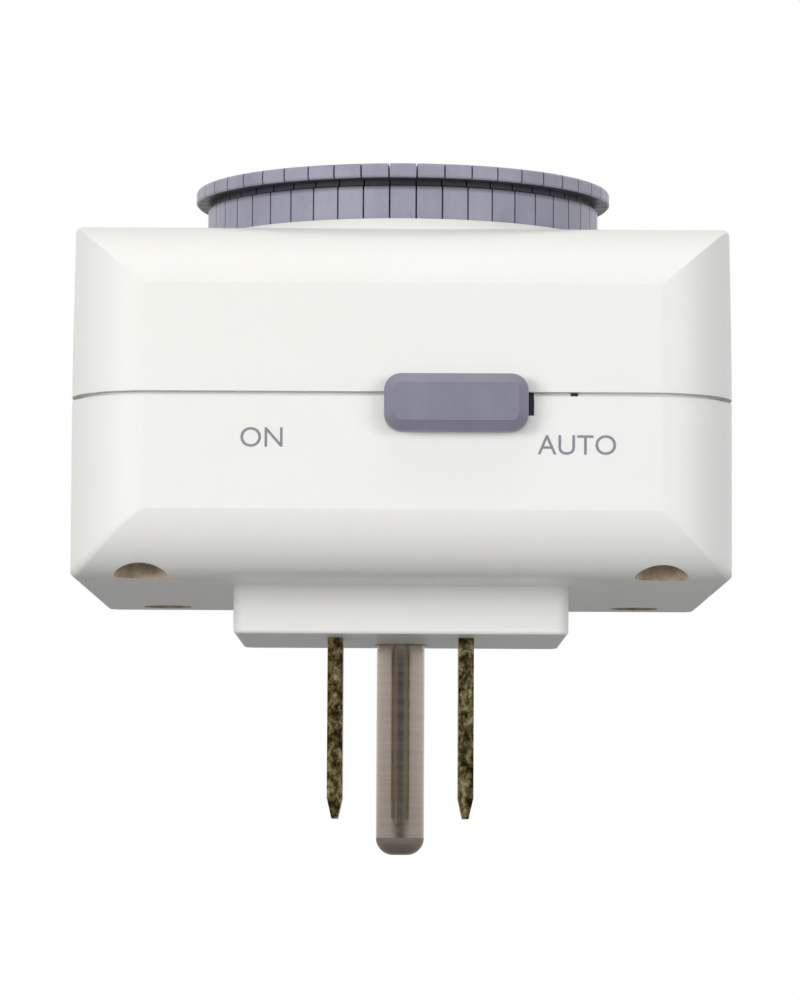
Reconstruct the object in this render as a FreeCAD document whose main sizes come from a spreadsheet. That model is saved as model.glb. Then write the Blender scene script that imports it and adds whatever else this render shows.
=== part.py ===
# Plug-in 24 hour timer switch, built piece by piece in millimetres.
# The wall face of the plug block lies in Z = 0. +Z points away from the wall, to the dial.
# The slide switch is on the -Y side, the outlet on the +Y side, and +X is to the right of the switch.

import FreeCAD, Part
import math
import operator
import os
import Sketcher

doc = FreeCAD.newDocument("plug_in_timer")

# Driving dimensions, each one a cell of the sheet.
DRIVING_DIMENSIONS = [
    ("body_width", 62.0, "housing across its side walls"),
    ("body_depth", 62.0, "housing from the switch side to the outlet side"),
    ("rear_height", 16.5, "rear housing, from its back face to the parting line"),
    ("front_height", 16.1, "front cover, from the parting line to its face"),
    ("parting_gap", 0.4, "groove left open between the two shells"),
    ("wall", 2.0, "moulded wall"),
    ("floor_thickness", 2.2, "back wall of the rear housing"),
    ("pillow_run", 7.1, "rounding of the switch side, along the width"),
    ("pillow_depth", 8.1, "the same rounding, along the depth"),
    ("edge_drop", 6.0, "rounding of the switch side, along the height"),
    ("edge_depth", 7.5, "the same rounding, along the depth"),
    ("rear_corner", 1.5, "corner radius on the outlet side"),
    ("edge_rounding", 0.6, "small rounding round the face of a shell"),
    ("side_draft", 0.4, "lean of each side wall of the front cover"),
    ("tongue_inset", 1.0, "tongue set back from the outside of the wall"),
    ("tongue_height", 1.4, "tongue above the parting line"),
    ("seam_clearance", 0.1, "play round the tongue"),
    ("block_width", 32.1, "plug block across the blades"),
    ("block_depth", 29.6, "plug block along the blades"),
    ("block_height", 4.7, "plug block from the wall face to the back face"),
    ("block_corner", 1.3, "corner radius of the plug block"),
    ("block_rounding", 0.4, "small rounding round the wall face"),
    ("screw_side", 4.7, "housing screw from the inside of the side wall"),
    ("screw_front", 3.9, "front housing screw from the inside of the wall"),
    ("screw_rear", 4.4, "rear housing screw from the inside of the wall"),
    ("screw_head_radius", 2.3, "pan head"),
    ("screw_head_height", 1.6, "pan head"),
    ("screw_radius", 1.25, "thread"),
    ("screw_length", 21.0, "under the head"),
    ("counterbore_radius", 2.5, "well that the screw head goes into"),
    ("counterbore_depth", 4.8, "well, from the back face"),
    ("screw_boss_radius", 3.2, "tube round a housing screw"),
    ("boss_lift", 1.1, "front tubes, where the rounding of the case lifts the floor"),
    ("screw_clearance", 0.35, "play round a screw's shank"),
    ("pilot_depth", 11.0, "pilot hole in a boss of the front cover"),
    ("cross_length", 3.0, "cross recess of a screw head"),
    ("cross_width", 0.6, "cross recess of a screw head"),
    ("cross_depth", 0.8, "cross recess of a screw head"),
    ("blade_pitch", 12.7, "between the flat blades"),
    ("blade_width", 6.35, "flat blade"),
    ("blade_thickness", 1.5, "flat blade"),
    ("blade_length", 17.5, "flat blade beyond the wall face"),
    ("blade_offset", 4.6, "blades from the middle, towards the switch side"),
    ("blade_head", 1.3, "foot of the blade inside, folded flat"),
    ("blade_foot", 3.2, "foot of the blade, to its side"),
    ("blade_tip", 2.0, "tapered end of the blade"),
    ("blade_taper", 0.45, "tapered end of the blade, off each side"),
    ("ground_distance", 11.9, "ground pin behind the blades"),
    ("ground_radius", 2.4, "ground pin"),
    ("ground_length", 21.0, "ground pin beyond the wall face"),
    ("ground_tip", 1.7, "rounding of the pin's tip"),
    ("neck_inset", 0.2, "neck of the pin, held in the plug block"),
    ("neck_proud", 0.4, "neck of the pin, beyond the wall face"),
    ("pin_recess", 0.3, "recess in the wall face round the pin"),
    ("recess_depth", 0.4, "recess in the wall face round the pin"),
    ("ground_head_radius", 3.6, "collar of the pin inside"),
    ("strap_width", 4.0, "brass strap"),
    ("strap_thickness", 0.8, "brass strap"),
    ("dial_offset", 3.2, "dial axis from the middle, towards the switch side"),
    ("dial_hole_radius", 19.5, "opening for the dial"),
    ("collar_radius", 20.1, "ring round the dial, at its top"),
    ("collar_flare", 1.2, "ring, wider at its foot"),
    ("collar_height", 1.1, "ring above the front face"),
    ("segment_count", 48.0, "half hours in a day"),
    ("segment_gap", 0.16, "between two segments"),
    ("segment_travel", 2.8, "stroke of a pushed segment"),
    ("lip_radius", 20.35, "finger lip of a segment"),
    ("lip_thickness", 1.38, "finger lip of a segment"),
    ("lip_rounding", 0.35, "outer top edge of the lip"),
    ("lip_inner_radius", 16.2, "inner end of a segment's top"),
    ("skirt_radius", 19.2, "outside of a segment's skirt"),
    ("skirt_inner_radius", 17.75, "inside of a segment's skirt"),
    ("neck_depth", 0.45, "groove under the lip"),
    ("neck_height", 0.65, "groove under the lip"),
    ("segment_height", 9.15, "segment from its foot to its top"),
    ("segment_top", 6.35, "segment tops above the front face"),
    ("key_width", 0.9, "rib on a segment"),
    ("key_depth", 1.0, "rib on a segment"),
    ("key_clearance", 0.1, "play round the rib in its groove"),
    ("drum_radius", 17.6, "drum under the segments"),
    ("table_radius", 15.9, "raised middle of the drum"),
    ("drum_wall", 2.6, "drum"),
    ("table_thickness", 1.5, "drum"),
    ("hub_radius", 5.0, "drum"),
    ("post_radius", 3.0, "fixed post that the drum turns on"),
    ("running_clearance", 0.05, "play of a shaft in its hole"),
    ("gear_module", 0.5, "pitch diameter divided by teeth"),
    ("drum_teeth", 48.0, "gear under the drum"),
    ("pinion_teeth", 16.0, "pinion of the motor"),
    ("gear_width", 2.5, "gear under the drum"),
    ("gear_backlash", 0.14, "gap between two meshed flanks"),
    ("plate_thickness", 1.5, "mechanism plate"),
    ("plate_level", 20.3, "underside of the mechanism plate above the back face"),
    ("plate_side", 22.4, "mechanism plate from the middle, along the width"),
    ("plate_front", 22.5, "mechanism plate from the middle, towards the switch side"),
    ("plate_rear", 15.4, "mechanism plate from the middle, towards the outlet"),
    ("plate_corner", 2.0, "corner radius of the mechanism plate"),
    ("plate_hole_play", 0.2, "play round a screw in the plate"),
    ("plate_screw_side", 19.5, "plate screw from the middle, along the width"),
    ("plate_screw_front", 19.5, "front plate screw from the middle"),
    ("plate_screw_rear", 12.6, "rear plate screws from the middle"),
    ("plate_screw_radius", 1.0, "screws of the mechanism plate"),
    ("plate_screw_length", 7.0, "screws of the mechanism plate, under the head"),
    ("plate_screw_head", 1.9, "head radius of the plate screws"),
    ("plate_head_height", 1.2, "head of the plate screws"),
    ("plate_boss_radius", 2.4, "boss of the front cover for a plate screw"),
    ("plate_pilot_depth", 6.0, "pilot hole in a boss for a plate screw"),
    ("post_flange_radius", 4.5, "flange of the post, on the plate"),
    ("post_flange_height", 1.1, "flange of the post, on the plate"),
    ("post_neck_radius", 2.0, "necks of the post, above and below"),
    ("retainer_height", 0.6, "washer over the drum"),
    ("retainer_gap", 0.15, "play of the drum along its post"),
    ("face_inner_radius", 5.2, "printed dial disc"),
    ("face_outer_radius", 15.6, "printed dial disc"),
    ("face_thickness", 0.4, "printed dial disc"),
    ("pointer_radius", 6.4, "middle of the pointer"),
    ("pointer_rise", 1.7, "middle of the pointer, above the washer"),
    ("pointer_reach", 13.5, "tip of the pointer from the dial axis"),
    ("pointer_half_width", 2.6, "arrow of the pointer"),
    ("pointer_thickness", 0.9, "arrow of the pointer"),
    ("motor_radius", 13.0, "synchronous motor can"),
    ("motor_height", 9.5, "synchronous motor can"),
    ("gearbox_height", 5.5, "reduction gear case on the motor"),
    ("gearbox_side", 24.0, "reduction gear case on the motor"),
    ("motor_place_x", 9.0, "motor from the middle, along the width"),
    ("motor_place_y", 5.0, "motor from the middle, towards the switch side"),
    ("motor_screw_reach", 14.6, "motor screws from the motor's middle"),
    ("motor_screw_radius", 0.8, "screws of the motor"),
    ("motor_screw_head", 1.8, "head radius of the motor screws"),
    ("motor_head_height", 0.9, "head of the motor screws"),
    ("motor_ear_width", 6.8, "screw ears of the motor"),
    ("motor_ear_thickness", 2.0, "screw ears of the motor"),
    ("motor_ear_corner", 2.5, "corner radius of the ears"),
    ("gearbox_corner", 3.0, "corner radius of the gear case"),
    ("shaft_end_gap", 0.3, "play under the output shaft"),
    ("motor_ear_reach", 17.2, "ends of the ears from the motor's middle"),
    ("shaft_radius", 1.2, "output shaft of the motor"),
    ("shaft_depth", 4.0, "output shaft below the plate"),
    ("lever_pin_radius", 1.0, "pin of the trip lever"),
    ("lever_boss_radius", 1.6, "lever round its pin"),
    ("lever_width", 2.6, "trip lever"),
    ("lever_place_y", 12.0, "pin of the lever from the middle, towards the switch side"),
    ("lever_height", 1.7, "pin of the lever above the plate"),
    ("lever_front_reach", 7.5, "lever's end on the slider's side, from its pin"),
    ("lever_rear_reach", 10.4, "lever's end under the dial, from its pin"),
    ("lever_nose", 3.6, "nose of the lever above its pin"),
    ("lever_gap", 0.5, "play of the lever between its ears"),
    ("ear_thickness", 1.8, "ears of the plate that hold the lever's pin"),
    ("plunger_radius", 1.1, "button of the switch"),
    ("plunger_place_y", 6.0, "button from the middle, towards the switch side"),
    ("plunger_gap", 0.1, "between the button and the lever at rest"),
    ("switch_place_x", 18.6, "switch and lever from the middle, along the width"),
    ("switch_front", 16.0, "front of the switch from the middle"),
    ("switch_width", 6.4, "snap switch"),
    ("switch_length", 19.8, "snap switch"),
    ("switch_height", 10.2, "snap switch"),
    ("switch_corner", 0.6, "corner radius of the snap switch"),
    ("knob_width", 13.3, "slide knob"),
    ("knob_height", 5.3, "slide knob"),
    ("knob_depth", 2.2, "slide knob, proud of the wall"),
    ("knob_bevel", 0.9, "slide knob, round its front face"),
    ("knob_corner", 1.6, "slide knob"),
    ("knob_offset", 5.0, "slide knob from the middle, in its timed position"),
    ("knob_travel", 6.0, "slide knob, towards the left"),
    ("slide_clearance", 0.2, "play of the slider"),
    ("knob_wall_gap", 0.12, "between the knob and the wall"),
    ("knob_level", 15.8, "middle of the knob above the back face"),
    ("stem_width", 6.4, "stem of the knob, through the wall"),
    ("stem_height", 1.8, "stem of the knob, through the wall"),
    ("stem_inset", 0.25, "stem from the right end of the knob"),
    ("slot_rim", 0.55, "knob slot beyond the knob, on the right"),
    ("slider_thickness", 1.2, "plate of the slider inside the wall"),
    ("slider_height", 6.4, "plate of the slider inside the wall"),
    ("slider_left", 16.5, "plate of the slider, left of the knob's middle"),
    ("slider_right", 12.5, "plate of the slider, right of the knob's middle"),
    ("slider_arm_width", 2.0, "arm of the slider, up to the trip lever"),
    ("slider_arm_height", 1.6, "arm of the slider, over the plate"),
    ("slider_arm_reach", 8.0, "arm of the slider, from the wall"),
    ("guide_depth", 3.3, "ledge and ribs that guide the slider"),
    ("guide_thickness", 1.5, "ledge under the slider"),
    ("guide_place", 20.2, "guide ribs from the middle"),
    ("guide_width", 2.0, "guide ribs"),
    ("notch_place", 15.6, "notch in the tongue from the middle"),
    ("notch_width", 0.7, "notch in the tongue"),
    ("spring_thickness", 0.25, "leaf spring of the slider"),
    ("spring_height", 2.0, "leaf spring of the slider"),
    ("spring_crest", 0.7, "bend of the leaf spring towards the slider"),
    ("outlet_width", 26.8, "outlet insert"),
    ("outlet_height", 23.8, "outlet insert"),
    ("outlet_proud", 0.5, "outlet insert, beyond the wall"),
    ("outlet_corner", 0.4, "outlet insert"),
    ("outlet_gap", 0.15, "between the outlet insert and the wall"),
    ("outlet_flange", 1.4, "outlet insert behind the wall, all round"),
    ("flange_thickness", 2.2, "outlet insert behind the wall"),
    ("outlet_level", 15.9, "middle of the outlet insert above the back face"),
    ("slot_length", 7.2, "blade slot of the outlet"),
    ("slot_width", 1.9, "blade slot of the outlet"),
    ("outlet_ground_radius", 2.65, "ground hole of the outlet"),
    ("contact_thickness", 0.6, "spring contact of the outlet"),
    ("contact_mouth", 0.5, "mouth of a contact, wider on each side"),
    ("blade_grip", 0.7, "half the gap of a blade contact"),
    ("pin_grip", 2.3, "half the gap of the ground contact"),
    ("blade_contact_height", 3.6, "half the height of a blade contact"),
    ("pin_contact_height", 3.0, "half the height of the ground contact"),
    ("contact_tail", 2.8, "tail of a contact, on each side"),
    ("cell_clearance", 0.4, "play of a contact in its cell"),
    ("carrier_side", 11.0, "contact carrier from the middle"),
    ("carrier_back", 17.0, "back of the contact carrier from the middle"),
    ("carrier_wall", 1.2, "back wall of the contact carrier"),
    ("carrier_rise", 5.0, "contact carrier above the blade slots"),
]

sheet = doc.addObject("Spreadsheet::Sheet", "dims")
for row, (alias, value, meaning) in enumerate(DRIVING_DIMENSIONS, start=1):
    sheet.set(f"A{row}", meaning)
    sheet.set(f"B{row}", str(value))
    sheet.setAlias(f"B{row}", alias)
doc.recompute()


class Size:
    """A length: its number now, and the expression that keeps it tied to the sheet."""

    ARITHMETIC = {"+": operator.add, "-": operator.sub, "*": operator.mul, "/": operator.truediv}

    def __init__(self, number, text):
        self.number = float(number)
        self.text = text

    def combined(self, sign, other, other_first=False):
        if not isinstance(other, Size):
            other = Size(other, f"{other:.10g}")
        first, second = (other, self) if other_first else (self, other)
        number = self.ARITHMETIC[sign](first.number, second.number)
        return Size(number, f"({first.text} {sign} {second.text})")

    def __add__(self, other):
        return self.combined("+", other)

    def __radd__(self, other):
        return self.combined("+", other, other_first=True)

    def __sub__(self, other):
        return self.combined("-", other)

    def __rsub__(self, other):
        return self.combined("-", other, other_first=True)

    def __mul__(self, other):
        return self.combined("*", other)

    def __rmul__(self, other):
        return self.combined("*", other, other_first=True)

    def __truediv__(self, other):
        return self.combined("/", other)

    def __rtruediv__(self, other):
        return self.combined("/", other, other_first=True)

    def __neg__(self):
        return self.combined("-", 0, other_first=True)

    def root(self):
        return Size(math.sqrt(self.number), f"sqrt({self.text})")


class SheetSizes:
    """Reads a cell of the sheet by its alias, as a Size."""

    def __getattr__(self, alias):
        return Size(getattr(sheet, alias), f"dims.{alias}")


dim = SheetSizes()


def as_size(value):
    return value if isinstance(value, Size) else Size(value, f"{value:.10g}")


def tie(thing, property_name, value):
    """Sets a property to a size and keeps it tied to the sheet."""
    thing.setExpression(property_name, as_size(value).text)


def new_body(name):
    body = doc.addObject("PartDesign::Body", name)
    body.Label = name
    return body


def new_sketch(body, plane, level):
    """A sketch on one of the body's own origin planes, moved along that plane's normal."""
    origin_plane = [item for item in body.Origin.OriginFeatures if item.Role == plane][0]
    sketch = body.newObject("Sketcher::SketchObject", f"{body.Name}_sketch")
    sketch.AttachmentSupport = [(origin_plane, "")]
    sketch.MapMode = "FlatFace"
    tie(sketch, "AttachmentOffset.Base.z", level)
    return sketch


def pin_point(sketch, geometry, point, x, y):
    """Holds one point of a sketch at its two coordinates."""
    for value, kind, axis in ((x, "DistanceX", -2), (y, "DistanceY", -1)):
        if not isinstance(value, Size) and value == 0:
            sketch.addConstraint(Sketcher.Constraint("PointOnObject", geometry, point, axis))
            continue
        value = as_size(value)
        index = sketch.addConstraint(Sketcher.Constraint(kind, -1, 1, geometry, point, value.number))
        sketch.setExpression(f"Constraints[{index}]", value.text)


def arc_between(start, end, radius, bulge):
    """An arc of a given radius. Bulge 1 puts its middle to the right of the way, -1 to the left."""
    middle = (start + end) * 0.5
    way = end - start
    side = FreeCAD.Vector(way.y, -way.x, 0).normalize() * bulge
    sagitta = radius - math.sqrt(max(radius ** 2 - (way.Length / 2) ** 2, 0))
    return Part.Arc(start, middle + side * sagitta, end)


def draw_loop(sketch, corners):
    """A closed outline. A corner is (x, y), or (x, y, radius, bulge) where an arc leaves it."""
    points = [FreeCAD.Vector(as_size(c[0]).number, as_size(c[1]).number, 0) for c in corners]
    count = len(corners)
    edges = []
    for number, corner in enumerate(corners):
        start = points[number]
        end = points[(number + 1) % count]
        if len(corner) == 2:
            edges.append((sketch.addGeometry(Part.LineSegment(start, end), False), 1, 2))
            continue
        arc = arc_between(start, end, as_size(corner[2]).number, corner[3])
        geometry = sketch.addGeometry(arc, False)
        first = 1 if sketch.getPoint(geometry, 1).distanceToPoint(start) < 1e-6 else 2
        edges.append((geometry, first, 3 - first))
        index = sketch.addConstraint(Sketcher.Constraint("Radius", geometry, as_size(corner[2]).number))
        sketch.setExpression(f"Constraints[{index}]", as_size(corner[2]).text)
    for number, (geometry, first, last) in enumerate(edges):
        following = edges[(number + 1) % count]
        joint = Sketcher.Constraint("Coincident", geometry, last, following[0], following[1])
        sketch.addConstraint(joint)
        pin_point(sketch, geometry, first, corners[number][0], corners[number][1])


def draw_circle(sketch, x, y, radius):
    centre = FreeCAD.Vector(as_size(x).number, as_size(y).number, 0)
    circle = Part.Circle(centre, FreeCAD.Vector(0, 0, 1), as_size(radius).number)
    geometry = sketch.addGeometry(circle, False)
    index = sketch.addConstraint(Sketcher.Constraint("Radius", geometry, as_size(radius).number))
    sketch.setExpression(f"Constraints[{index}]", as_size(radius).text)
    pin_point(sketch, geometry, 3, x, y)


def rectangle(left, right, low, high):
    return [(left, low), (right, low), (right, high), (left, high)]


def rounded_rectangle(left, right, low, high, radius):
    return [
        (left + radius, low), (right - radius, low, radius, 1),
        (right, low + radius), (right, high - radius, radius, 1),
        (right - radius, high), (left + radius, high, radius, 1),
        (left, high - radius), (left, low + radius, radius, 1),
    ]


def extrude(body, kind, plane, level, length, loops=(), circles=(), reverse=False, both=False):
    """Pads or pockets an outline and makes sure that the solid's volume changed."""
    sketch = new_sketch(body, plane, level)
    for loop in loops:
        draw_loop(sketch, loop)
    for x, y, radius in circles:
        draw_circle(sketch, x, y, radius)
    before = body.Shape.Volume if body.Tip else 0
    feature = body.newObject(f"PartDesign::{kind}", f"{body.Name}_{kind.lower()}")
    feature.Profile = sketch
    feature.Reversed = reverse
    if both:
        feature.SideType = "Symmetric"
    tie(feature, "Length", length)
    doc.recompute()
    if abs(body.Shape.Volume - before) < 1e-6:
        raise ValueError(f"{feature.Name} changed nothing")
    return feature


def pad(body, plane, level, length, **outline):
    return extrude(body, "Pad", plane, level, length, **outline)


def pocket(body, plane, level, length, **outline):
    return extrude(body, "Pocket", plane, level, length, **outline)


def turn(body, loop, plane="XZ_Plane", level=0, kind="Revolution", angle=360):
    """Turns a half outline of (radius, height) about the upright axis of its sketch."""
    sketch = new_sketch(body, plane, level)
    draw_loop(sketch, loop)
    feature = body.newObject(f"PartDesign::{kind}", f"{body.Name}_{kind.lower()}")
    feature.Profile = sketch
    feature.ReferenceAxis = (sketch, ["V_Axis"])
    tie(feature, "Angle", angle)
    doc.recompute()
    return feature


def repeat_round(body, feature, count):
    """Repeats a feature about the body's upright axis."""
    axis = [item for item in body.Origin.OriginFeatures if item.Role == "Z_Axis"][0]
    pattern = body.newObject("PartDesign::PolarPattern", f"{body.Name}_pattern")
    pattern.Originals = [feature]
    pattern.Axis = (axis, [""])
    pattern.Angle = 360
    tie(pattern, "Occurrences", count)
    body.Tip = pattern
    doc.recompute()
    return pattern


def move(body, x=0, y=0, z=0):
    for axis, value in (("x", x), ("y", y), ("z", z)):
        if isinstance(value, Size):
            tie(body, f"Placement.Base.{axis}", value)
    doc.recompute()


NODES = []


def keep(thing, name):
    """Gives a finished piece its name and puts it on the list of nodes."""
    thing.Label = name
    NODES.append(thing)
    return thing


# Levels and places that several pieces share.
half_width = dim.body_width / 2
half_depth = dim.body_depth / 2
back_face = dim.block_height
floor_top = back_face + dim.floor_thickness
parting = back_face + dim.rear_height
cover_base = parting + dim.parting_gap
cover_face = cover_base + dim.front_height
cover_inside = cover_face - dim.wall
dial_y = -dim.dial_offset
plate_base = back_face + dim.plate_level
plate_top = plate_base + dim.plate_thickness

pillow_radius = (dim.pillow_run * dim.pillow_run + dim.pillow_depth * dim.pillow_depth) / (2 * dim.pillow_run)
edge_radius = (dim.edge_drop * dim.edge_drop + dim.edge_depth * dim.edge_depth) / (2 * dim.edge_drop)


def plan_outline(inset):
    """The housing seen from the dial, with the pillowed corners of the switch side."""
    radius = pillow_radius - inset
    centre_x = half_width - pillow_radius
    centre_y = dim.pillow_depth - half_depth
    reach = dim.pillow_depth - inset
    start_x = centre_x + (radius * radius - reach * reach).root()
    side = half_width - inset
    front = inset - half_depth
    back = half_depth - inset
    corner = dim.rear_corner
    return [
        (-start_x, front), (start_x, front, radius, 1),
        (side, centre_y), (side, back - corner, corner, 1),
        (side - corner, back), (corner - side, back, corner, 1),
        (-side, back - corner), (-side, centre_y, radius, 1),
    ]


screw_x = half_width - dim.wall - dim.screw_side
front_screw_y = dim.wall + dim.screw_front - half_depth
rear_screw_y = half_depth - dim.wall - dim.screw_rear
screw_places = [(side * screw_x, along) for along in (front_screw_y, rear_screw_y) for side in (-1, 1)]
plate_screw_places = [
    (dim.plate_screw_side, -dim.plate_screw_front),
    (dim.plate_screw_side, dim.plate_screw_rear),
    (-dim.plate_screw_side, dim.plate_screw_rear),
]
outlet_middle = back_face + dim.outlet_level
slot_level = outlet_middle + dim.ground_distance / 2
ground_level = outlet_middle - dim.ground_distance / 2
blade_y = -dim.blade_offset
motor_x = dim.motor_place_x
motor_y = -dim.motor_place_y
motor_screw_rows = (motor_y - dim.motor_screw_reach, motor_y + dim.motor_screw_reach)
switch_x = -dim.switch_place_x
lever_y = -dim.lever_place_y
lever_z = plate_top + dim.lever_height
plunger_y = -dim.plunger_place_y
ground_y = dim.ground_distance - dim.blade_offset
ground_neck = dim.ground_radius - dim.neck_inset
inner_front = dim.edge_depth - half_depth - dim.boss_lift
knob_level = back_face + dim.knob_level
slider_low = knob_level - dim.slider_height / 2
slider_face = half_depth - dim.wall - dim.slide_clearance
slider_back = slider_face - dim.slider_thickness
knob_right = dim.knob_offset + dim.knob_width / 2
stem_right = knob_right - dim.stem_inset
stem_left = stem_right - dim.stem_width

# How far a cut runs past the surface that it opens.
outside = 4.0


def round_edges(body, feature, radius, level, behind=-1000):
    """Rounds the edges of a feature that lie at a level and reach behind a place."""
    names = []
    for number, edge in enumerate(feature.Shape.Edges, start=1):
        box = edge.BoundBox
        if abs(box.ZMin - level) < 1e-4 and abs(box.ZMax - level) < 1e-4 and box.YMax > behind:
            names.append(f"Edge{number}")
    fillet = body.newObject("PartDesign::Fillet", f"{body.Name}_fillet")
    fillet.Base = (feature, names)
    tie(fillet, "Radius", radius)
    doc.recompute()
    return fillet


def blade_slots(half_slot, low, high):
    """Two upright rectangles, one at the pitch of each blade."""
    outlines = []
    for side in (-1, 1):
        middle = side * dim.blade_pitch / 2
        outlines.append(rectangle(middle - half_slot, middle + half_slot, low, high))
    return outlines


def make_rear_housing():
    """Rear half of the case with the plug block, moulded in one."""
    body = new_body("rear_housing")
    pad(body, "XY_Plane", back_face, dim.rear_height, loops=[plan_outline(0)])
    waste = [
        (-half_depth, back_face + dim.edge_drop, edge_radius, 1),
        (dim.edge_depth - half_depth, back_face),
        (dim.edge_depth - half_depth, back_face - outside),
        (-half_depth - outside, back_face - outside),
        (-half_depth - outside, back_face + dim.edge_drop),
    ]
    shell = pocket(body, "YZ_Plane", 0, dim.body_width * 2, loops=[waste], both=True)
    round_edges(body, shell, dim.edge_rounding, back_face.number, behind=0)
    half_block_x = dim.block_width / 2
    half_block_y = dim.block_depth / 2
    block = rounded_rectangle(-half_block_x, half_block_x, -half_block_y, half_block_y, dim.block_corner)
    plug_block = pad(body, "XY_Plane", 0, dim.block_height, loops=[block])
    round_edges(body, plug_block, dim.block_rounding, 0)
    upper = dim.rear_height - dim.edge_drop
    pocket(body, "XY_Plane", parting, upper, loops=[plan_outline(dim.wall)])
    inner_side = half_width - dim.wall
    lower = rectangle(-inner_side, inner_side, inner_front, half_depth - dim.wall)
    pocket(body, "XY_Plane", back_face + dim.edge_drop, dim.edge_drop - dim.floor_thickness, loops=[lower])
    tongue = [plan_outline(dim.tongue_inset), plan_outline(dim.wall)]
    pad(body, "XY_Plane", parting, dim.tongue_height, loops=tongue)
    for places, boss_base in ((screw_places[:2], floor_top + dim.boss_lift), (screw_places[2:], floor_top - 1)):
        bosses = [(x, y, dim.screw_boss_radius) for x, y in places]
        pad(body, "XY_Plane", boss_base, cover_base - boss_base, circles=bosses)
    wells = [(x, y, dim.counterbore_radius) for x, y in screw_places]
    pocket(body, "XY_Plane", 0, back_face + dim.counterbore_depth, circles=wells, reverse=True)
    shanks = [(x, y, dim.screw_radius + dim.screw_clearance) for x, y in screw_places]
    pocket(body, "XY_Plane", 0, cover_base, circles=shanks, reverse=True)
    half_blade = dim.blade_width / 2
    slots = blade_slots(dim.blade_thickness / 2, blade_y - half_blade, blade_y + half_blade)
    pocket(body, "XY_Plane", 0, floor_top, loops=slots, reverse=True)
    pocket(body, "XY_Plane", 0, floor_top, circles=[(0, ground_y, ground_neck)], reverse=True)
    recess = [(0, ground_y, dim.ground_radius + dim.pin_recess)]
    pocket(body, "XY_Plane", 0, dim.recess_depth, circles=recess, reverse=True)
    half_outlet = dim.outlet_width / 2
    opening = rectangle(-half_outlet, half_outlet, outlet_middle - dim.outlet_height / 2, parting + outside)
    pocket(body, "XZ_Plane", -half_depth - 1, dim.wall + 2, loops=[opening], reverse=True)
    slot_left = stem_left - dim.knob_travel - dim.slide_clearance
    slot_low = knob_level - dim.stem_height / 2 - dim.slide_clearance
    slot = rectangle(slot_left, knob_right + dim.slot_rim, slot_low, parting + outside)
    pocket(body, "XZ_Plane", half_depth + 1, dim.wall + 2, loops=[slot])
    notch = rectangle(dim.notch_place, dim.notch_place + dim.notch_width, parting, parting + outside)
    pocket(body, "XZ_Plane", half_depth + 1, dim.wall + 2, loops=[notch])
    ledge_top = slider_low - dim.slide_clearance
    ledge_low = ledge_top - dim.guide_thickness
    guide_root = half_depth - dim.wall + 0.5
    half_guide = dim.guide_width / 2
    ledge_end = dim.guide_place - half_guide
    ledge = rectangle(-ledge_end, ledge_end, ledge_low, ledge_top)
    pad(body, "XZ_Plane", guide_root, dim.guide_depth, loops=[ledge], reverse=True)
    ribs = [
        rectangle(side * dim.guide_place - half_guide, side * dim.guide_place + half_guide,
                  ledge_low, knob_level + dim.spring_height / 2 + dim.slide_clearance)
        for side in (-1, 1)
    ]
    pad(body, "XZ_Plane", guide_root, dim.guide_depth, loops=ribs, reverse=True)
    return body


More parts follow.
